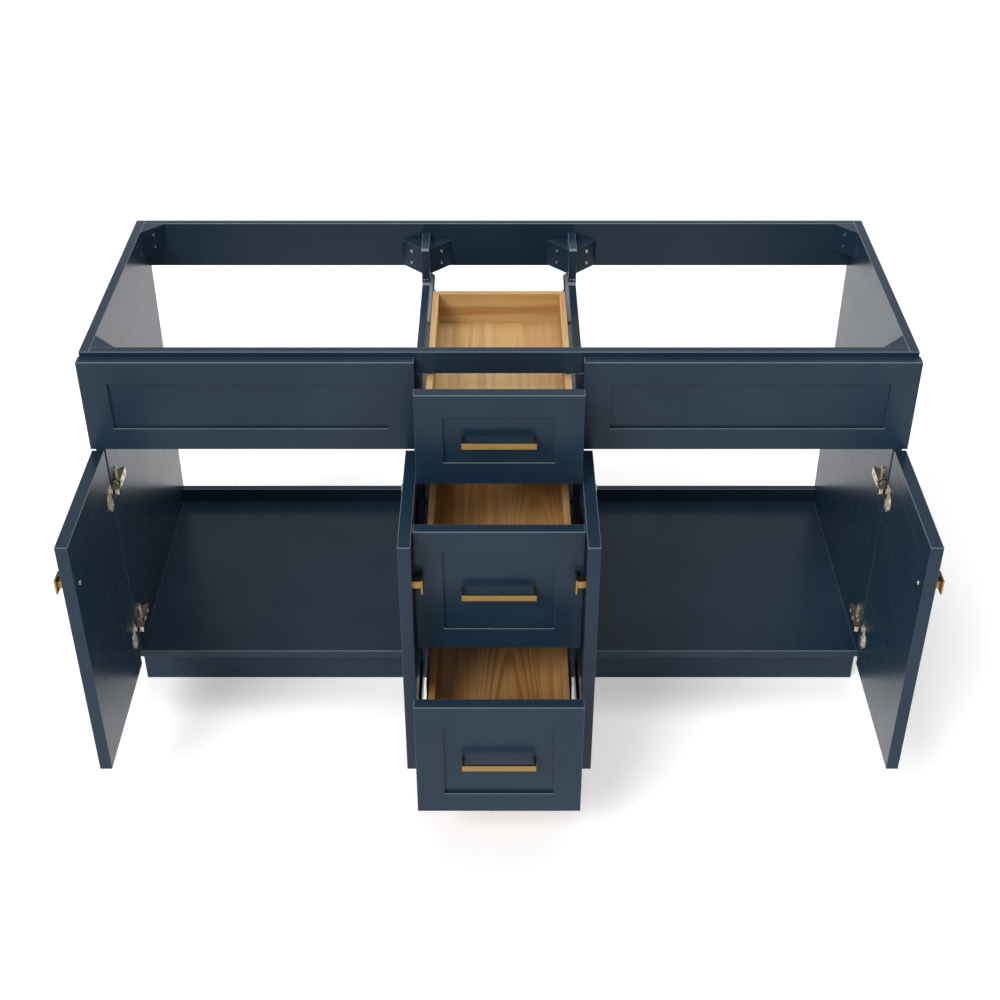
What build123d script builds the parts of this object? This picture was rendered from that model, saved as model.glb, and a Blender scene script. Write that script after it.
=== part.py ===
from build123d import *
import os

# Bathroom vanity cabinet: two door bays around a stack of three drawers, shown with
# every door open and every drawer pulled out. Millimetres. X is right, Y goes from the
# front to the wall, Z is up. The origin is on the floor, on the centre line, in the
# middle of the plinth board's underside.

# Carcass
width = 1524.0
depth = 552.0
height = 852.0
board = 16.0
side_board = 18.0
front_rail_thick = 18.0
front_rail_tall = 45.0
back_rail_tall = 97.0
lower_rail_tall = 50.0
toe_recess = 71.0
toe_tall = 122.0
arris = 1.0

# Partitions beside the drawer stack
partition_inner = 144.5
partition_notch_z = 751.0
partition_back_post_top = 831.0
partition_post_deep = 79.0
post_top_radius = 5.0
notch_radius = 6.0

# Corner blocks and the screws in them
block_leg = 44.0
block_tall = 57.0
partition_block_top = 815.0
screw_head_radius = 3.6
screw_head_tall = 2.4
screw_shank_radius = 1.75
screw_shank_long = 27.0
screw_step = 26.0

# Doors, false fronts and drawer fronts
front_thick = 23.0
front_top = 843.0
upper_row_bottom = 656.0
lower_row_top = 652.0
lower_row_split = 385.5
lower_row_bottom = 121.0
bottom_drawer_low = 124.0
reveal = 3.0
stile_wide = 50.5
rail_wide = 46.0
recess_deep = 6.0
tongue_long = 6.0
tongue_thick = 5.0
bumper_gap = 2.0
false_front_inner = 154.0
false_front_overhang = 2.5
drawer_front_half = 150.5
door_wide = 303.0

# Door pivot, measured from the closed door's hinge edge and from its outer face
pivot_in = 1.75
pivot_deep = 3.25

# Knobs and pulls
knob_from_edge = 29.5
knob_below_top = 99.0
knob_plate = 30.0
knob_plate_thick = 3.5
knob_post = 15.0
knob_tall = 18.0
pull_long = 133.5
pull_tall = 12.5
pull_thick = 4.5
pull_out = 26.0

# Concealed hinges: a cup let into the door, and an arm on a cross-shaped plate
hinge_below_top = 102.0
hinge_above_bottom = 84.0
cup_from_edge = 22.5
cup_radius = 17.5
cup_deep = 14.0
cup_wall = 1.0
flange_thick = 1.2
flange_tall = 54.0
flange_from_edge = 2.5
flange_wide = 19.0
cup_pin_in = 9.5
cup_pin_deep = 7.5
cup_pin_radius = 2.2
nose_start = 18.8
nose_end = 34.0
nose_forward = 10.0
nose_half = 6.0
nose_gap = 1.5
arm_half = 8.5
arm_proud = 13.0
arm_front = 14.0
arm_tail = 64.0
arm_skin = 2.0
plate_wing_tall = 50.0
plate_wide = 18.0
plate_wing_thick = 2.0
plate_centre = 36.0
plate_block_long = 40.0

# Drawer boxes
box_half = 132.0
box_long = 440.0
box_tall = 88.0
box_side = 12.0
box_floor = 6.0
box_floor_drop = 67.0
groove_deep = 6.0

# Drawer runners, three nested steel channels on each side of each box
runner_drop = 73.5
rail_tall = 35.0
middle_tall = 28.0
inner_tall = 21.0
channel_thick = 1.2
rail_deep = 9.5
middle_start = 3.0
middle_deep = 7.5
inner_deep = 7.5
rail_long = 500.0
middle_long = 450.0
inner_long = 436.0
rail_setback = 5.0
inner_setback = 2.0
damper_wide = 6.5
damper_tall = 4.0
damper_long = 209.0

# Worked out from the above
front = -(toe_recess + board / 2)
back = front + depth
side_inner = width / 2 - side_board
partition_outer = partition_inner + board
deck_top = toe_tall + board
back_rail_front = back - board
closed_face = front - front_thick - bumper_gap
screw_levels = (-screw_step / 2, screw_step / 2)

# Each drawer: rim height of its box, bottom and top of its front, how far it is pulled out
drawers = {
    "top": (804.0, upper_row_bottom, front_top, 111.0),
    "middle": (576.0, lower_row_split + reveal / 2, lower_row_top, 252.0),
    "bottom": (288.0, bottom_drawer_low, lower_row_split - reveal / 2, 409.0),
}

# Each door: X of its closed hinge edge, the way it closes, X of the panel that carries it
doors = {
    "outer_left": (-width / 2, 1, -side_inner),
    "inner_left": (-false_front_inner, -1, -partition_outer),
    "inner_right": (false_front_inner, 1, partition_outer),
    "outer_right": (width / 2, -1, side_inner),
}


def block(x0, x1, y0, y1, z0, z1):
    """A box between opposite corners."""
    size = (abs(x1 - x0), abs(y1 - y0), abs(z1 - z0))
    return Pos((x0 + x1) / 2, (y0 + y1) / 2, (z0 + z1) / 2) * Box(*size)


def eased(solid, radius=arris):
    """The same board with its sharp edges just taken off."""
    return fillet(solid.edges(), radius)


def save(node, *solids):
    """Write one node, from one solid or from several separate ones."""
    shape = solids[0] if len(solids) == 1 else Compound(children=list(solids))
    export_step(shape, f"parts/{node}.step")


def both_sides(solid):
    """A solid and its mirror image across the cabinet's centre plane."""
    return solid, mirror(solid, about=Plane.YZ)


def panelled(x0, x1, z0, z1, face):
    """Frame and recessed centre panel of a front whose outer face is at Y = face."""
    rear = face + front_thick
    inner = (x0 + stile_wide, x1 - stile_wide)
    levels = (z0 + rail_wide, z1 - rail_wide)
    tongue_rear = rear - (front_thick - recess_deep - tongue_thick) / 2
    tongue = block(
        inner[0] - tongue_long, inner[1] + tongue_long,
        tongue_rear - tongue_thick, tongue_rear,
        levels[0] - tongue_long, levels[1] + tongue_long,
    )
    frame = eased(block(x0, x1, face, rear, z0, z1))
    frame -= block(*inner, face, rear, *levels)
    opening = frame.faces().sort_by(Axis.Y)[0].inner_wires()[0]
    frame = fillet(opening.edges(), arris) - tongue
    panel = block(*inner, face + recess_deep, rear, *levels) + tongue
    return frame, panel


def carcass():
    side = block(-width / 2, -side_inner, front, back, 0, height)
    side -= block(-width / 2, -side_inner, front, front + toe_recess, 0, toe_tall)
    left, right = both_sides(eased(side))
    save("side_panel_left", left)
    save("side_panel_right", right)

    post_front = front + partition_post_deep
    post_back = back_rail_front - partition_post_deep
    rail_bottom = height - front_rail_tall
    top = partition_back_post_top
    partition = block(-partition_outer, -partition_inner, front, back_rail_front, deck_top, top)
    notch = block(-partition_outer, -partition_inner, post_front, post_back, partition_notch_z, top)
    partition -= notch
    partition -= block(-partition_outer, -partition_inner, front, post_front, rail_bottom, top)
    for corner, radius in ((-1, post_top_radius), (0, notch_radius)):
        across = partition.edges().filter_by(Axis.X)
        across = across.filter_by_position(Axis.Y, post_back - arris, post_back + arris)
        partition = fillet(across.sort_by(Axis.Z)[corner], radius)
    seams = partition.faces().filter_by(GeomType.CYLINDER).edges().filter_by(Axis.X)
    sharp = [edge for edge in partition.edges() if edge not in seams]
    left, right = both_sides(fillet(sharp, arris))
    save("partition_left", left)
    save("partition_right", right)

    rail_back = front + front_rail_thick
    save("front_top_rail", eased(block(-side_inner, side_inner, front, rail_back, rail_bottom, height)))
    low = height - back_rail_tall
    save("back_top_rail", eased(block(-side_inner, side_inner, back_rail_front, back, low, height)))
    high = toe_tall + lower_rail_tall
    save("back_lower_rail", eased(block(-side_inner, side_inner, back_rail_front, back, toe_tall, high)))
    save("deck_panel", eased(block(-side_inner, side_inner, front, back_rail_front, toe_tall, deck_top)))
    plinth = block(-side_inner, side_inner, front + toe_recess, front + toe_recess + board, 0, toe_tall)
    save("plinth_board", eased(plinth))


def corner_block(x, y, way_x, way_y, top):
    """Triangular block in the corner at (x, y), with two screws through its long face."""
    profile = make_face(Polyline((0, 0), (block_leg, 0), (0, block_leg), close=True))
    prism = extrude(profile, block_tall)
    inward = Plane((block_leg / 2, block_leg / 2, block_tall / 2), z_dir=(-1, -1, 0))
    shank = Cylinder(screw_shank_radius, screw_shank_long, align=(Align.CENTER, Align.CENTER, Align.MIN))
    head = Cylinder(screw_head_radius, screw_head_tall, align=(Align.CENTER, Align.CENTER, Align.MAX))
    screws = []
    for level in screw_levels:
        place = Pos(0, 0, level) * inward.location
        prism -= place * shank
        screws.append(place * (shank + fillet(head.faces().sort_by(Axis.Z)[0].edges(), 1.0)))
    shapes = [prism, *screws]
    if way_x < 0:
        shapes = [mirror(s, about=Plane.YZ) for s in shapes]
    if way_y < 0:
        shapes = [mirror(s, about=Plane.XZ) for s in shapes]
    shapes = [Pos(x, y, top - block_tall) * s for s in shapes]
    return shapes[0], shapes[1:]


def blocks():
    rail_back = front + front_rail_thick
    corners = [
        (-side_inner, back_rail_front, 1, -1, height),
        (side_inner, back_rail_front, -1, -1, height),
        (-side_inner, rail_back, 1, 1, height),
        (side_inner, rail_back, -1, 1, height),
    ]
    for side in (-1, 1):
        for face, way in ((partition_outer, side), (partition_inner, -side)):
            corners.append((side * face, back_rail_front, way, -1, partition_block_top))
    prisms = []
    screws = []
    for corner in corners:
        prism, pair = corner_block(*corner)
        prisms.append(prism)
        screws += pair
    save("corner_blocks", *prisms)
    save("block_screws", *screws)


def false_fronts():
    outer = width / 2 + false_front_overhang
    face = front - front_thick
    frame, panel = panelled(-outer, -false_front_inner, upper_row_bottom, front_top, face)
    save("false_front_frames", *both_sides(frame))
    save("false_front_panels", *both_sides(panel))


def closed_door(edge, way):
    """Frame and panel of a door, closed."""
    x0, x1 = sorted((edge, edge + way * door_wide))
    return panelled(x0, x1, lower_row_bottom, lower_row_top, closed_face)


def opened(solid, edge, way):
    """A solid of the closed door, turned to the open pose about the door's pivot."""
    pivot = (edge + way * pivot_in, closed_face + pivot_deep, 0)
    return solid.rotate(Axis(pivot, (0, 0, 1)), -90 * way)


def hinge_levels():
    return lower_row_top - hinge_below_top, lower_row_bottom + hinge_above_bottom


def at_hinge(solid, edge, way, level):
    """Move a hinge piece, drawn about its closed hinge edge, to one door's hinge."""
    if way < 0:
        solid = mirror(solid, about=Plane.YZ)
    return Pos(edge, front, level) * solid


def upright(points, half):
    """A flat outline in X and Y, extruded by half each way in Z."""
    return extrude(make_face(Polyline(*points, close=True)), half, both=True)


def hinge_cup():
    """Steel cup let into the back of the closed door, with its screwed flange and pin."""
    rear = -bumper_gap
    up = (Align.CENTER, Align.CENTER, Align.MIN)
    centre = Pos(cup_from_edge, rear, 0)
    half = flange_tall / 2
    flange = block(
        flange_from_edge, flange_from_edge + flange_wide, rear, rear + flange_thick, -half, half,
    )
    flange = fillet(flange.edges().filter_by(Axis.Y), 4)
    slot = block(0, cup_from_edge, rear, rear + 2 * flange_thick, -nose_half - nose_gap, nose_half + nose_gap)
    inside = cup_radius - cup_wall
    hollow = Pos(0, -cup_deep + cup_wall, 0) * centre * Rot(-90, 0, 0) * Cylinder(
        inside, cup_deep + flange_thick, align=up,
    )
    cup = cup_bore() + flange - hollow - slot
    pin = Pos(cup_pin_in, rear - cup_pin_deep, 0) * Cylinder(cup_pin_radius, 2 * cup_radius)
    return cup + (pin & cup_bore())


def cup_bore():
    """The pocket that the cup fills."""
    return Pos(cup_from_edge, -bumper_gap, 0) * Rot(90, 0, 0) * Cylinder(
        cup_radius, cup_deep, align=(Align.CENTER, Align.CENTER, Align.MIN)
    )


def hinge_arm(face):
    """Steel arm and its nose; face is how far the carrying panel is from the hinge edge."""
    high = face + arm_proud
    low = high - arm_skin
    seat = face + plate_wing_thick
    nose = upright([
        (nose_start, -nose_forward),
        (nose_end, -nose_forward),
        (nose_end, 6),
        (high, arm_front + 6),
        (low - 3, arm_front + 6),
        (nose_start, 6),
    ], nose_half)
    nose = fillet(nose.edges().filter_by(Axis.Z).group_by(Axis.Y)[0], 2.5)
    top = upright([(low, arm_front), (high, arm_front), (high, arm_tail), (low, arm_tail)], arm_half)
    skirt = upright([(seat, 22), (low, arm_front), (low, arm_tail), (seat, arm_tail - 6)], arm_half)
    skirt -= upright([(0, 0), (low, 0), (low, arm_tail), (0, arm_tail)], arm_half - arm_skin)
    return nose + top + skirt


def hinge_plate(face):
    """Cross-shaped mounting plate with the raised block inside the arm."""
    wing = block(
        face, face + plate_wing_thick,
        plate_centre - plate_wide / 2, plate_centre + plate_wide / 2,
        -plate_wing_tall / 2, plate_wing_tall / 2,
    )
    wing = fillet(wing.edges().filter_by(Axis.X), 4)
    half = arm_half - arm_skin
    start = plate_centre - plate_block_long / 2 + 8
    raised = block(face, face + arm_proud - arm_skin, start, plate_centre + plate_block_long / 2, -half, half)
    return wing + raised


def knob(edge, way):
    """Square knob on the closed door's outer face: a post with a thin plate on its end."""
    x = edge + way * (door_wide - knob_from_edge)
    z = lower_row_top - knob_below_top
    end = closed_face - knob_tall
    half = knob_plate / 2
    plate = block(x - half, x + half, end, end + knob_plate_thick, z - half, z + half)
    stem = knob_post / 2
    post = block(x - stem, x + stem, end + knob_plate_thick, closed_face, z - stem, z + stem)
    return fillet(plate.edges(), 0.6) + fillet(post.edges().filter_by(Axis.Y), 1.0)


def hung_doors():
    plates = []
    arms = []
    for name, (edge, way, panel_x) in doors.items():
        face = abs(panel_x - edge)
        frame, panel = closed_door(edge, way)
        cups = [at_hinge(hinge_cup(), edge, way, level) for level in hinge_levels()]
        for level in hinge_levels():
            frame -= at_hinge(cup_bore(), edge, way, level)
            plates.append(at_hinge(hinge_plate(face), edge, way, level))
            arms.append(at_hinge(hinge_arm(face), edge, way, level))
        save(f"door_{name}_frame", opened(frame, edge, way))
        save(f"door_{name}_panel", opened(panel, edge, way))
        save(f"door_{name}_knob", opened(knob(edge, way), edge, way))
        save(f"door_{name}_hinge_cups", *[opened(cup, edge, way) for cup in cups])
    save("hinge_plates", *plates)
    save("hinge_arms", *arms)


def channel(x_web, x_open, tall, y0, y1, level):
    """A steel channel along Y: an upright web with a flange at its top and bottom."""
    way = 1 if x_open > x_web else -1
    half = tall / 2
    solid = block(x_web, x_open, y0, y1, level - half, level + half)
    inside = block(
        x_web + way * channel_thick, x_open + way, y0, y1,
        level - half + channel_thick, level + half - channel_thick,
    )
    return solid - inside


def drawer_pull(face, level):
    """Flat bar bent into a U, standing on the recessed panel."""
    root = face + recess_deep
    end = root - pull_out
    half = pull_long / 2
    low = level - pull_tall / 2
    high = level + pull_tall / 2
    solid = block(-half, half, end, root, low, high)
    solid -= block(-half + pull_thick, half - pull_thick, end + pull_thick, root, low, high)
    return fillet(solid.edges(), 0.5)


def drawer_box(rim, y0):
    """Sides, ends and floor of a box whose front outer face is at y0."""
    y1 = y0 + box_long
    low = rim - box_tall
    floor_top = rim - box_floor_drop
    floor = block(
        -box_half + box_side - groove_deep, box_half - box_side + groove_deep,
        y0 + box_side - groove_deep, y1 - box_side + groove_deep,
        floor_top - box_floor, floor_top,
    )
    side = eased(block(-box_half, -box_half + box_side, y0, y1, low, rim)) - floor
    inner = box_half - box_side
    ends = [
        eased(block(-inner, inner, y, y + box_side, low, rim)) - floor
        for y in (y0, y1 - box_side)
    ]
    return both_sides(side), ends, floor


def drawer_stack():
    rails = []
    dampers = []
    for name, (rim, low, high, pulled) in drawers.items():
        face = closed_face - pulled
        rear = face + front_thick
        half = drawer_front_half
        frame, panel = panelled(-half, half, low, high, face)
        sides, ends, floor = drawer_box(rim, rear)
        save(f"drawer_{name}_front_frame", frame)
        save(f"drawer_{name}_front_panel", panel)
        save(f"drawer_{name}_box_sides", *sides)
        save(f"drawer_{name}_box_ends", *ends)
        save(f"drawer_{name}_box_floor", floor)
        save(f"drawer_{name}_pull", drawer_pull(face, (low + high) / 2))

        level = rim - runner_drop
        start = front + rail_setback
        x = -partition_inner
        rails += both_sides(channel(x, x + rail_deep, rail_tall, start, start + rail_long, level))
        end = start + rail_long
        z = level + rail_tall / 2
        dampers += both_sides(block(x, x + damper_wide, end - damper_long, end, z, z + damper_tall))
        x += middle_start
        y = start - pulled / 2
        middle = channel(x, x + middle_deep, middle_tall, y, y + middle_long, level)
        save(f"runner_{name}_middle", *both_sides(middle))
        y = rear + inner_setback
        inner = channel(-box_half, -box_half - inner_deep, inner_tall, y, y + inner_long, level)
        save(f"drawer_{name}_runner", *both_sides(inner))
    save("drawer_rails", *rails)
    save("rail_dampers", *dampers)


os.makedirs("parts", exist_ok=True)
carcass()
blocks()
false_fronts()
hung_doors()
drawer_stack()
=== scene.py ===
import bmesh
import bpy
import math
from mathutils import Matrix, Vector


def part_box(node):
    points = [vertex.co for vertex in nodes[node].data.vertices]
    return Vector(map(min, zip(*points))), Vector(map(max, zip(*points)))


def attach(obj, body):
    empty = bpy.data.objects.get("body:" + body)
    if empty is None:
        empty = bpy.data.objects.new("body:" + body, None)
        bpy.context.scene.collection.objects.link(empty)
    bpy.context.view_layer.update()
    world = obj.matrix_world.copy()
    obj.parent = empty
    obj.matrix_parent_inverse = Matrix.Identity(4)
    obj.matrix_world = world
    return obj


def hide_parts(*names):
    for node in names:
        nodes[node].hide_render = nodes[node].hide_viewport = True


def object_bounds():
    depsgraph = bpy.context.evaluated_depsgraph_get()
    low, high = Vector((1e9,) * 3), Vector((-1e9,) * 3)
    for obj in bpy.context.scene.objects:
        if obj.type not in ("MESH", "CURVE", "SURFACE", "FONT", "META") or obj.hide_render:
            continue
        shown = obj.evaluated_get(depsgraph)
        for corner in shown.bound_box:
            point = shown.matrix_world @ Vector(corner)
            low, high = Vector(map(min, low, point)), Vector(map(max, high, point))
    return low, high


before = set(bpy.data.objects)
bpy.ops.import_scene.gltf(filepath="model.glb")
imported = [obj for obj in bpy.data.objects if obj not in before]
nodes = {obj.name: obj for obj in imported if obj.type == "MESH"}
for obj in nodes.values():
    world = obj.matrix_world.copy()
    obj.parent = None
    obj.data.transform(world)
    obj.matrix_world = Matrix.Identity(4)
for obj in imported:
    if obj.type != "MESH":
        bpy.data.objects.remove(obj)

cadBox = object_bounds()
print("vanity frame loaded:", len(nodes), "cabinet parts")


class Wire:
    # a socket that takes part in ordinary maths: colours by a Mix node, vectors by Vector Math
    def __init__(self, shade, socket):
        self.shade = shade
        self.socket = socket

    def out(self, name):  # another output of the same node
        return Wire(self.shade, self.socket.node.outputs[name])

    def joined(self, operation, first, second):
        kinds = [w.socket.type for w in (first, second) if isinstance(w, Wire)]
        if "RGBA" in kinds:
            return self.shade.mixed(1.0, first, second, operation)
        kind = "ShaderNodeVectorMath" if "VECTOR" in kinds else "ShaderNodeMath"
        return self.shade.node(kind, {"operation": operation}, {0: first, 1: second})

    def __add__(self, other):
        return self.joined("ADD", self, other)

    def __radd__(self, other):
        return self.joined("ADD", other, self)

    def __sub__(self, other):
        return self.joined("SUBTRACT", self, other)

    def __rsub__(self, other):
        return self.joined("SUBTRACT", other, self)

    def __mul__(self, other):
        return self.joined("MULTIPLY", self, other)

    def __rmul__(self, other):
        return self.joined("MULTIPLY", other, self)

    def __truediv__(self, other):
        return self.joined("DIVIDE", self, other)

    def __rtruediv__(self, other):
        return self.joined("DIVIDE", other, self)


class Shade:
    # one material or sky, and the nodes that it is wired from
    def __init__(self, owner):
        self.owner = owner
        owner.use_nodes = True
        self.tree = owner.node_tree
        self.tree.nodes.clear()

    def plug(self, socket, value):
        if isinstance(value, Wire):
            self.tree.links.new(value.socket, socket)
        elif isinstance(value, (tuple, list)) and socket.type == "RGBA" and len(value) == 3:
            socket.default_value = (*value, 1.0)
        else:
            socket.default_value = value

    def node(self, kind, settings=None, inputs=None, output=0):
        made = self.tree.nodes.new(kind)
        for name, value in (settings or {}).items():
            if name == "stops":
                self.setStops(made.color_ramp, value)
            else:
                setattr(made, name, value)
        for name, value in (inputs or {}).items():
            self.plug(made.inputs[name], value)
        return Wire(self, made.outputs[output]) if made.outputs else None

    def setStops(self, ramp, stops):
        while len(ramp.elements) < len(stops):
            ramp.elements.new(1.0)
        for element, (place, level) in zip(ramp.elements, stops):
            element.position = place
            element.color = (*level, 1.0) if isinstance(level, tuple) else (level, level, level, 1.0)

    def mixed(self, amount, first, second, blend="MIX"):  # the colour sockets of a Mix node are 6 and 7
        settings = {"data_type": "RGBA", "blend_type": blend}
        return self.node("ShaderNodeMix", settings, {0: amount, 6: first, 7: second}, 2)

    def place(self, stretch=(1, 1, 1)):  # where a point is on the cabinet, in stretched metres
        return self.node("ShaderNodeTexCoord").out("Object") * stretch

    def noise(self, spot, scale=1.0, detail=2.0, rough=0.5):
        inputs = {"Vector": spot, "Scale": scale, "Detail": detail, "Roughness": rough}
        return self.node("ShaderNodeTexNoise", {}, inputs)

    def ramp(self, value, *stops):
        return self.node("ShaderNodeValToRGB", {"stops": stops}, {"Fac": value})

    def level(self, value, *stops):  # a ramp of plain numbers
        return self.node("ShaderNodeRGBToBW", {}, {0: self.ramp(value, *stops)})

    def bump(self, height, depth):
        return self.node("ShaderNodeBump", {}, {"Height": height, "Distance": depth})

    def finish(self, **sockets):  # the shader itself, with plain names for its sockets
        names = {"colour": "Base Color", "roughness": "Roughness", "metal": "Metallic", "normal": "Normal",
                 "coat": "Coat Weight", "coatRoughness": "Coat Roughness", "ior": "IOR",
                 "glow": "Emission Strength", "glowColour": "Emission Color"}
        inputs = {names[name]: value for name, value in sockets.items()}
        surface = self.node("ShaderNodeBsdfPrincipled", {}, inputs)
        self.node("ShaderNodeOutputMaterial", {}, {"Surface": surface})
        return self.owner


def newShade(name):
    return Shade(bpy.data.materials.new(name))


navyPaint = {
    "deep": (0.0085, 0.0225, 0.0415),
    "pale": (0.0120, 0.0275, 0.0480),
    # pale colour of the painted highlight on the arrises that face upward
    "arris": (0.150, 0.178, 0.200),
    "arrisWide": 0.0023,
    "roughness": 0.27,
    "smearSpread": 0.06,    # how much smears and specks change the roughness
    "speckSpread": 0.02,
    "ior": 1.30,
    "cloudScale": 7.0,
    "smearScale": 6.0,
    "smearStretch": (1, 1, 3),
    "speckScale": 260.0,
    "peelScale": 700.0,
    "peelDepth": 0.0000004,
}


def navyFinish():
    shade = newShade("navyPaint")
    spot = shade.place()
    cloud = shade.noise(spot, navyPaint["cloudScale"], 3.0)
    speck = shade.noise(spot, navyPaint["speckScale"])
    tone = shade.ramp(cloud, (0.35, navyPaint["deep"]), (0.65, navyPaint["pale"]))
    # painted highlight: paler colour laid on the arrises that face upward, and next to them, where a rounded
    # normal leaves the true one, standing in for the light that rounded edges catch from above
    rounded = shade.node("ShaderNodeBevel", {"samples": 4}, {"Radius": navyPaint["arrisWide"]})
    true = shade.node("ShaderNodeNewGeometry").out("True Normal")
    facing = shade.node("ShaderNodeVectorMath", {"operation": "DOT_PRODUCT"}, {0: rounded, 1: true}, "Value")
    upward = shade.node("ShaderNodeSeparateXYZ", {}, {0: rounded}).out("Z")
    bent = shade.level(1 - facing, (0.01, 0.0), (0.10, 0.6))
    edgeHighlight = bent * shade.level(upward, (0.05, 0.25), (0.45, 1.0))
    slope = shade.node("ShaderNodeSeparateXYZ", {}, {0: true}).out("Z")
    # mask of the painted highlight: bent places that face upward, and faces that slope upward
    paintedHighlight = edgeHighlight + shade.level(slope, (0.05, 0.0), (0.20, 1.0), (0.93, 1.0), (0.99, 0.0))
    # the painted highlight laid over the paint's own tone
    tone = shade.mixed(paintedHighlight, tone, navyPaint["arris"])
    smear = shade.noise(shade.place(navyPaint["smearStretch"]), navyPaint["smearScale"], 1.0)
    rough = navyPaint["roughness"] + (smear - 0.5) * navyPaint["smearSpread"]
    rough = rough + (speck - 0.5) * navyPaint["speckSpread"]
    peel = shade.noise(spot, navyPaint["peelScale"], 1.0)
    normal = shade.bump(peel, navyPaint["peelDepth"])
    return shade.finish(colour=tone, roughness=rough, normal=normal, ior=navyPaint["ior"])


pineWood = {
    "pale": (0.500, 0.345, 0.155),
    "late": (0.300, 0.112, 0.022),
    "blush": (0.470, 0.220, 0.048),
    "fibre": (260.0, 7.0),      # streaks per metre across and along the board
    "streak": (70.0, 2.2),
    "band": (13.0, 0.9),
    "roughness": 0.46,
    "roughnessSpread": 0.2,
    "coat": 0.12,
    "coatRoughness": 0.3,
    "fibreDepth": 0.00005,
    "archWide": 0.030,          # the nest of pointed rings: its shape, reach and number of rings
    "archLong": 0.150,
    "archReach": 0.088,
    "archRings": 1.1,
    "archSway": 0.022,          # how far the bands push it aside, and the streaks along
    "archWaver": 0.5,
}


def pineFinish(name, along, across, look):
    # straight fibre and broad bands, and a nest of pointed growth rings about the arch's place, if it has one
    shade = newShade(name)

    def grain(kind, detail=2.0, rough=0.5):
        wide, slow = pineWood[kind]
        stretch = [slow if axis == along else wide for axis in "xyz"]
        return shade.noise(shade.place(stretch), 1.0, detail, rough)

    fibre = grain("fibre", 3.0, 0.6)
    streak = grain("streak", 3.0)
    band = grain("band")
    rings = shade.level(streak, (0.42, 0.0), (0.60, 1.0))
    amount = rings * look["streaks"] + (fibre - 0.5) * look["fibres"]
    if "arch" in look:
        spot = shade.node("ShaderNodeSeparateXYZ", {}, {0: shade.place()})
        axes = {"x": spot.out("X"), "y": spot.out("Y"), "z": spot.out("Z")}
        aside = axes[across] - look["arch"][0] + (band - 0.5) * pineWood["archSway"]
        wide = aside / pineWood["archWide"]
        phase = wide * wide + (axes[along] - look["arch"][1]) / pineWood["archLong"]
        phase = phase + (streak - 0.5) * pineWood["archWaver"]
        saw = shade.node("ShaderNodeMath", {"operation": "FRACT"}, {0: phase * pineWood["archRings"]})
        line = shade.level(saw, (0.0, 0.05), (0.45, 0.30), (0.82, 1.0), (1.0, 0.05))
        reach = shade.node("ShaderNodeMath", {"operation": "ABSOLUTE"}, {0: aside}) / pineWood["archReach"]
        near = shade.level(reach, (0.45, 1.0), (1.0, 0.0))
        amount = amount * (1 - near * 0.7) + line * near * look["nest"]
    warm = shade.level(band, (0.38, 0.0), (0.62, 1.0)) * look["blush"][1] + look["blush"][0]
    tone = shade.mixed(warm, pineWood["pale"], pineWood["blush"])
    tone = shade.mixed(amount, tone, pineWood["late"])
    rough = pineWood["roughness"] + (fibre - 0.5) * pineWood["roughnessSpread"]
    normal = shade.bump(fibre + rings * 0.3, pineWood["fibreDepth"])
    return shade.finish(
        colour=tone, roughness=rough, normal=normal, coat=pineWood["coat"],
        coatRoughness=pineWood["coatRoughness"])


brass = {
    "base": (0.36, 0.225, 0.080),
    "dull": (0.25, 0.150, 0.048),
    "roughness": 0.30,
    "hair": (2600.0, 45.0),     # brushed lines per metre across and along
    "hairSpread": 0.22,
    "hairDepth": 0.000025,
    "cloudScale": 60.0,
    "cloudSpread": 0.10,
}


def brassFinish(name, along):
    shade = newShade(name)
    fine, slow = brass["hair"]
    hair = shade.noise(shade.place([slow if axis == along else fine for axis in "xyz"]), 1.0, 2.0, 0.6)
    cloud = shade.noise(shade.place(), brass["cloudScale"], 3.0)
    tone = shade.mixed(cloud * 0.6 + (hair - 0.5) * 0.5, brass["base"], brass["dull"])
    rough = brass["roughness"] + (hair - 0.5) * brass["hairSpread"] + (cloud - 0.5) * brass["cloudSpread"]
    normal = shade.bump(hair, brass["hairDepth"])
    return shade.finish(colour=tone, roughness=rough, metal=1.0, normal=normal)


plated = {
    "warmNickel": {"tint": (0.68, 0.61, 0.49), "dull": (0.46, 0.40, 0.31), "roughness": 0.12},
    "satinNickel": {"tint": (0.80, 0.75, 0.64), "dull": (0.62, 0.57, 0.47), "roughness": 0.42},
    "rolledZinc": {"tint": (0.22, 0.23, 0.25), "dull": (0.14, 0.15, 0.17), "roughness": 0.34},
    "brightZinc": {"tint": (0.78, 0.78, 0.76), "dull": (0.62, 0.62, 0.60), "roughness": 0.22},
    "cloudScale": 90.0,
    "cloudSpread": 0.10,
    "grainScale": 2200.0,
    "grainSpread": 0.08,
    "grainDepth": 0.000012,
}


def platedFinish(name):
    look = plated[name]
    shade = newShade(name)
    cloud = shade.noise(shade.place(), plated["cloudScale"], 3.0)
    grain = shade.noise(shade.place(), plated["grainScale"], 1.0)
    tone = shade.mixed(cloud, look["tint"], look["dull"])
    rough = look["roughness"] + (cloud - 0.5) * plated["cloudSpread"] + (grain - 0.5) * plated["grainSpread"]
    normal = shade.bump(grain, plated["grainDepth"])
    return shade.finish(colour=tone, roughness=rough, metal=1.0, normal=normal)


greyPlastic = {
    "deep": (0.14, 0.145, 0.155),
    "pale": (0.19, 0.195, 0.205),
    "roughness": 0.45,
    "grainScale": 1500.0,
    "grainSpread": 0.15,
    "grainDepth": 0.00002,
    "cloudScale": 40.0,
}


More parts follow.
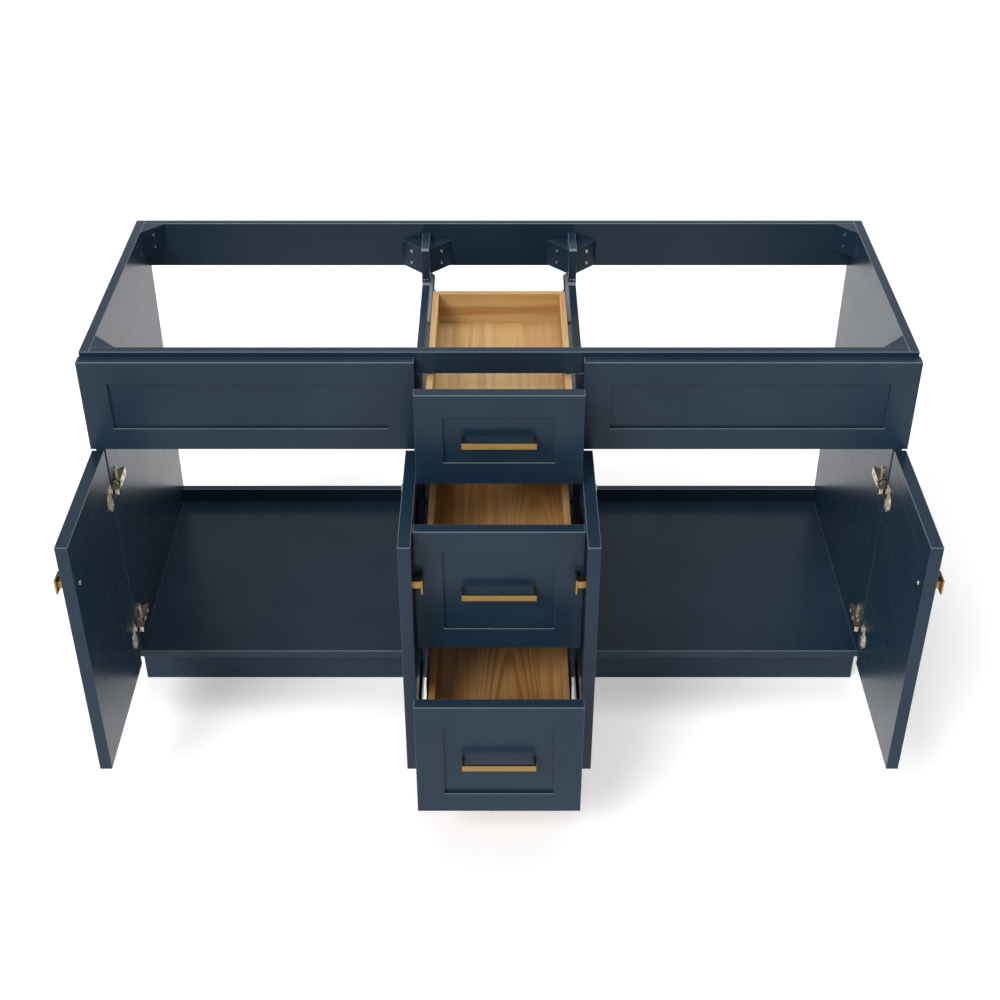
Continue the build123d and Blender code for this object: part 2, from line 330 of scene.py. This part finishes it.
def plasticFinish():
    shade = newShade("greyPlastic")
    grain = shade.noise(shade.place(), greyPlastic["grainScale"], 1.0)
    cloud = shade.noise(shade.place(), greyPlastic["cloudScale"])
    tone = shade.mixed(cloud, greyPlastic["deep"], greyPlastic["pale"])
    rough = greyPlastic["roughness"] + (grain - 0.5) * greyPlastic["grainSpread"]
    return shade.finish(colour=tone, roughness=rough, normal=shade.bump(grain, greyPlastic["grainDepth"]))


navy = navyFinish()
barBrass = brassFinish("barBrass", "x")
knobBrass = brassFinish("knobBrass", "z")
nickel = platedFinish("warmNickel")
satinNickel = platedFinish("satinNickel")
zinc = platedFinish("rolledZinc")
brightZinc = platedFinish("brightZinc")
plastic = plasticFinish()
print("finishes made")


def paint(node, material):
    slots = nodes[node].data.materials
    slots.clear()
    slots.append(material)


def cabinetFinish(node):  # the finish of every node but the pine boxes
    if "knob" in node:
        return knobBrass
    if "pull" in node:
        return barBrass
    if "hinge" in node:
        return satinNickel if "cups" in node else nickel
    if "runner" in node or node == "drawer_rails":
        return zinc
    if node == "rail_dampers":
        return plastic
    return brightZinc if node == "block_screws" else navy


# the wood of each drawer's floor: strength of its streaks and fibres, the least and the added orange, and
# the place across and along of a nest of growth rings, with its strength
drawerWood = {
    "top": {"streaks": 0.40, "fibres": 0.75, "blush": (0.0, 0.35)},
    "middle": {"streaks": 0.60, "fibres": 0.60, "blush": (0.45, 0.50), "arch": (0.070, 0.10), "nest": 0.55},
    "bottom": {"streaks": 0.65, "fibres": 0.70, "blush": (0.20, 0.55), "arch": (0.020, -0.16), "nest": 1.0},
}
boardWood = {"streaks": 0.60, "fibres": 0.75, "blush": (0.05, 0.60)}

for node in nodes:
    if "box_" not in node:
        paint(node, cabinetFinish(node))
for drawer, look in drawerWood.items():
    paint(f"drawer_{drawer}_box_floor", pineFinish(f"pineFloor_{drawer}", "y", "x", look))
    paint(f"drawer_{drawer}_box_sides", pineFinish(f"pineSides_{drawer}", "y", "z", boardWood))
    paint(f"drawer_{drawer}_box_ends", pineFinish(f"pineEnds_{drawer}", "x", "z", boardWood))
print("finishes laid on the cabinet")


def islands(node):  # lowest and highest corner of each separate solid of one node
    work = bmesh.new()
    work.from_mesh(nodes[node].data)
    bmesh.ops.remove_doubles(work, verts=work.verts, dist=1e-6)
    seen = set()
    boxes = []
    for start in work.verts:
        if start in seen:
            continue
        group = [start]
        seen.add(start)
        for vertex in group:
            for edge in vertex.link_edges:
                other = edge.other_vert(vertex)
                if other not in seen:
                    seen.add(other)
                    group.append(other)
        spots = [vertex.co for vertex in group]
        boxes.append([Vector([pick(s[i] for s in spots) for i in range(3)]) for pick in (min, max)])
    work.free()
    return boxes


sharpAngle = math.radians(35)  # edges of fittings that bend more than this stay crisp


def fittings(name, body, material, build):
    # one object of small fittings on one body; build adds them to its mesh
    work = bmesh.new()
    build(work)
    bmesh.ops.recalc_face_normals(work, faces=work.faces)
    mesh = bpy.data.meshes.new(name)
    work.to_mesh(mesh)
    work.free()
    mesh.materials.append(material)
    made = bpy.data.objects.new(name, mesh)
    bpy.context.collection.objects.link(made)
    mesh.shade_smooth()
    mesh.set_sharp_from_angle(angle=sharpAngle)
    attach(made, body)
    return made


crossHead = {
    "rim": 0.35,        # height of the upright edge, as a share of the head's height
    "shoulder": 0.86,   # radius where the flat top starts, as a share of the head's radius
    "armLong": 0.60,
    "armWide": 0.15,
    "taper": 0.55,      # the recess narrows to this towards its floor
    "recess": 0.75,     # depth, as a share of the head's height
    "flare": math.radians(5),
}


def addBand(work, lower, upper):  # a closed strip of faces between two rings of points
    for i in range(len(lower)):
        j = (i + 1) % len(lower)
        work.faces.new((lower[i], lower[j], upper[j], upper[i]))


def addScrew(work, spot, way, radius, tall):
    # pan head with a cross recess, standing on spot and facing way
    turn = Vector(way).to_track_quat("Z", "Y").to_matrix().to_4x4()
    put = Matrix.Translation(spot) @ turn
    long = radius * crossHead["armLong"]
    wide = radius * crossHead["armWide"]
    cross = []
    for quarter in range(4):
        spin = Matrix.Rotation(quarter * math.pi / 2, 3, "Z")
        cross += [spin @ Vector(corner) for corner in ((long, -wide, 0), (long, wide, 0), (wide, wide, 0))]
    angles = []
    for corner in cross:
        middle = math.atan2(corner.y, corner.x)
        angles += [middle - crossHead["flare"], middle + crossHead["flare"]]

    def ring(share, high):
        size = radius * share
        return [work.verts.new(put @ Vector((size * math.cos(a), size * math.sin(a), high))) for a in angles]

    def recess(share, high):
        return [work.verts.new(put @ Vector((c.x * share, c.y * share, high))) for c in cross]

    foot = ring(1.0, 0.0)
    edge = ring(1.0, tall * crossHead["rim"])
    crown = ring(crossHead["shoulder"], tall)
    lip = recess(1.0, tall)
    pit = recess(crossHead["taper"], tall * (1 - crossHead["recess"]))
    addBand(work, foot, edge)
    addBand(work, edge, crown)
    for i in range(len(cross)):
        after = (i + 1) % len(cross)
        work.faces.new((crown[2 * i], crown[2 * i + 1], lip[i]))
        work.faces.new((crown[2 * i + 1], crown[2 * after], lip[after], lip[i]))
    addBand(work, lip, pit)
    work.faces.new(pit)
    work.faces.new(foot)


blockScrew = {
    "radius": 0.0036,
    "tall": 0.0024,
    "stack": 0.1445,    # blocks between these distances from the middle are on the partitions' bay sides
    "outside": 0.30,
    "front": 0.1,       # blocks further than this before the whole box's middle count as front ones
    "sunk": 0.6,        # how far the head is let into its seat, as a share of its height
}


def blockScrewSpots():
    # middle of each screw's seat and the way its head faces, away from the corner that its block fills
    # known fault: the two front blocks don't stand as far forward as blockScrew["front"] asks, so their
    # heads are turned as the rear ones' are and lie inside the blocks
    middle = (cadBox[0][1] + cadBox[1][1]) / 2
    for low, high in islands("block_screws"):
        centre = (low + high) / 2
        outward = blockScrew["stack"] < abs(centre.x) < blockScrew["outside"]
        wayX = math.copysign(1, centre.x) * (1 if outward else -1)
        wayY = 1 if centre.y < middle - blockScrew["front"] else -1
        way = Vector((wayX, wayY, 0)).normalized()
        # a corner of the screw's box nearly touches its head, less the head's half-width along the box's side
        tip = Vector((high.x if wayX > 0 else low.x, high.y if wayY > 0 else low.y, centre.z))
        inset = blockScrew["radius"] / math.sqrt(2)
        seat = tip - Vector((wayX, wayY, 0)) * inset
        yield seat - way * (blockScrew["tall"] * blockScrew["sunk"]), way


def addBlockScrews(work):
    for seat, way in blockScrewSpots():
        addScrew(work, seat, way, blockScrew["radius"], blockScrew["tall"])


hingeScrew = {
    "radius": 0.0038,
    "tall": 0.0011,
    "wing": 0.002,          # thickness of the plate's wings
    "wingIn": 0.0062,       # from a wing's end to its screw
    "wingMiddle": 0.022,    # from the arm's nose back to the middle of the wings
    "flangeIn": 0.0068,     # from a flange's end to its screw
    "flangeMiddle": 0.0095,
    "flangeTall": 0.0006,   # low enough to clear the carcass when the door is shut
    "adjusterRadius": 0.0040,
    "adjusters": (0.26, 0.72),  # places along the arm, as shares of its length
    "armFront": 0.024,      # stretch of the arm that its nose takes
    "armProud": 0.013,      # how far the arm's flat top stands off its panel
}


def wayOff(low, high):
    # the way a fitting on a side panel or a partition faces: into its door bay
    middle = (low.x + high.x) / 2
    bay = (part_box("side_panel_right")[0][0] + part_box("partition_right")[1][0]) / 2
    return math.copysign(1, middle) * (1 if abs(middle) < bay else -1)


def armTop(low, way):
    # arms on the side panels face the middle of the cabinet, and those on the partitions face away from it
    outer = way * low.x < 0
    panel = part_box("side_panel_right")[0][0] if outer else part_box("partition_right")[1][0]
    return math.copysign(panel, low.x) + way * hingeScrew["armProud"]


def addPlateScrews(work):
    for low, high in islands("hinge_plates"):
        way = wayOff(low, high)
        x = (low.x if way > 0 else high.x) + way * hingeScrew["wing"]
        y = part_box("hinge_arms")[0][1] + hingeScrew["armFront"] + hingeScrew["wingMiddle"]
        for z in (low.z + hingeScrew["wingIn"], high.z - hingeScrew["wingIn"]):
            addScrew(work, (x, y, z), (way, 0, 0), hingeScrew["radius"], hingeScrew["tall"])


def addAdjusters(work):
    for low, high in islands("hinge_arms"):
        way = wayOff(low, high)
        x = armTop(low, way)
        start = low.y + hingeScrew["armFront"]
        for share in hingeScrew["adjusters"]:
            y = start + (high.y - start) * share
            spot = (x, y, (low.z + high.z) / 2)
            addScrew(work, spot, (way, 0, 0), hingeScrew["adjusterRadius"], hingeScrew["tall"])


# the way along the width that each open door's inner face looks
doorWay = {"outer_left": 1, "inner_left": -1, "inner_right": 1, "outer_right": -1}
knobScrew = {"radius": 0.0040, "tall": 0.0016}


def doorScrews(door):
    way = doorWay[door]
    low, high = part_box(f"door_{door}_frame")
    face = high[0] if way > 0 else low[0]

    def build(work):
        knobLow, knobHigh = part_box(f"door_{door}_knob")
        spot = (face, (knobLow[1] + knobHigh[1]) / 2, (knobLow[2] + knobHigh[2]) / 2)
        addScrew(work, spot, (way, 0, 0), knobScrew["radius"], knobScrew["tall"])
        for cupLow, cupHigh in islands(f"door_{door}_hinge_cups"):
            x = cupHigh.x if way > 0 else cupLow.x
            y = cupHigh.y - hingeScrew["flangeMiddle"]
            for z in (cupLow.z + hingeScrew["flangeIn"], cupHigh.z - hingeScrew["flangeIn"]):
                addScrew(work, (x, y, z), (way, 0, 0), hingeScrew["radius"], hingeScrew["flangeTall"])

    return build


pullScrew = {"radius": 0.0048, "tall": 0.0018, "inset": 0.0025}


def drawerScrews(drawer):
    def build(work):
        low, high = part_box(f"drawer_{drawer}_pull")
        front = min(islands(f"drawer_{drawer}_box_ends"), key=lambda box: box[0].y)
        for x in (low[0] + pullScrew["inset"], high[0] - pullScrew["inset"]):
            spot = (x, front[1].y, (low[2] + high[2]) / 2)
            addScrew(work, spot, (0, 1, 0), pullScrew["radius"], pullScrew["tall"])

    return build


notchNail = {
    "radius": 0.0019,
    "tall": 0.0007,
    "apart": 0.0062,
    "notchLevel": 0.751,    # height of the long notch's floor
    "above": 0.0105,
    "postDeep": 0.079,
    "sides": 12,
    "rings": ((1.0, 0.0), (1.0, 0.5), (0.7, 1.0)),     # radius and height, as shares
}


def addNails(work):
    # flat nail heads across the foot of each rear post
    for side in (-1, 1):
        low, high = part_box("partition_right")
        middle = side * (low[0] + high[0]) / 2
        y = high[1] - notchNail["postDeep"]
        z = notchNail["notchLevel"] + notchNail["above"]
        for shift in (-0.5, 0.5):
            spot = Vector((middle + shift * notchNail["apart"], y, z))
            rings = []
            for share, out in notchNail["rings"]:
                ring = []
                for i in range(notchNail["sides"]):
                    angle = 2 * math.pi * i / notchNail["sides"]
                    size = notchNail["radius"] * share
                    shape = (size * math.cos(angle), -notchNail["tall"] * out, size * math.sin(angle))
                    ring.append(work.verts.new(spot + Vector(shape)))
                rings.append(ring)
            for lower, upper in zip(rings, rings[1:]):
                addBand(work, lower, upper)
            work.faces.new(rings[0])
            work.faces.new(rings[-1])


heads = fittings("blockScrewHeads", "carcass", brightZinc, addBlockScrews)
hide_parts("block_screws")
fittings("hingePlateScrews", "carcass", nickel, addPlateScrews)
fittings("hingeAdjusters", "carcass", nickel, addAdjusters)
fittings("notchNails", "carcass", brightZinc, addNails)
for door in doorWay:
    fittings(f"doorScrews_{door}", f"door_{door}", nickel, doorScrews(door))
for drawer in drawerWood:
    fittings(f"pullScrews_{drawer}", f"drawer_{drawer}", brightZinc, drawerScrews(drawer))
print("screws and nails added")


studio = {
    "floorSize": 160.0,
    "floorColour": (0.80, 0.80, 0.805),
    "floorRoughness": 0.6,
    "floorGlow": 0.40,
    "horizon": (0.45, 0.75),    # place in the sky's ramp, and brightness
    "overhead": (0.80, 0.20),
    "key": {"power": 2.1, "spread": 26, "start": (-1.9, -2.4, 3.1), "target": (0.0, 0.1, 0.4)},
    "top": {"power": 62.0, "size": 2.6, "start": (0.0, 0.5, 3.9), "target": (0.0, 0.1, 0.0)},
}


def addFloor():
    half = studio["floorSize"] / 2
    mesh = bpy.data.meshes.new("studioFloor")
    corners = [(-half, -half, 0), (half, -half, 0), (half, half, 0), (-half, half, 0)]
    mesh.from_pydata(corners, [], [(0, 1, 2, 3)])
    floor = bpy.data.objects.new("studioFloor", mesh)
    bpy.context.collection.objects.link(floor)
    shade = newShade("paleFloor")
    mesh.materials.append(shade.finish(
        colour=studio["floorColour"], roughness=studio["floorRoughness"], glow=studio["floorGlow"],
        glowColour=(1.0, 1.0, 1.0)))


def addSoftbox(name):
    look = studio[name]
    light = bpy.data.lights.new(f"{name}Light", "SUN" if "spread" in look else "AREA")
    if "spread" in look:  # even over the whole floor, with soft shadows
        light.angle = math.radians(look["spread"])
    else:
        light.shape = "DISK"
        light.size = look["size"]
    light.energy = look["power"]
    lamp = bpy.data.objects.new(f"{name}Light", light)
    lamp.location = look["start"]
    aim = Vector(look["target"]) - Vector(look["start"])
    lamp.rotation_euler = aim.to_track_quat("-Z", "Y").to_euler()
    bpy.context.collection.objects.link(lamp)


def addSky():
    # pale round the horizon and darker overhead
    world = bpy.data.worlds.new("studioSky")
    shade = Shade(world)
    aim = shade.node("ShaderNodeTexCoord").out("Generated")
    upward = shade.node("ShaderNodeSeparateXYZ", {}, {0: aim}).out("Z")
    tone = shade.ramp(upward, studio["horizon"], studio["overhead"])
    light = shade.node("ShaderNodeBackground", {}, {"Color": tone})
    shade.node("ShaderNodeOutputWorld", {}, {"Surface": light})
    bpy.context.scene.world = world


lensView = {
    "focal": 55.26,
    "sensor": 36.0,
    "shift": 0.0009,
    "reach": 60.0,
    "place": (0.0, -2.4965, 2.2457),
    "tilt": 54.53,
}


def addCamera():
    lens = bpy.data.cameras.new("camera")
    lens.lens = lensView["focal"]
    lens.sensor_width = lensView["sensor"]
    lens.shift_x = lensView["shift"]
    lens.clip_end = lensView["reach"]
    camera = bpy.data.objects.new("camera", lens)
    camera.location = lensView["place"]
    camera.rotation_euler = (math.radians(lensView["tilt"]), 0, 0)
    bpy.context.collection.objects.link(camera)
    bpy.context.scene.camera = camera


addFloor()
addSoftbox("key")
addSoftbox("top")
addSky()
bpy.context.scene.view_settings.view_transform = "Standard"
addCamera()
print("studio ready")
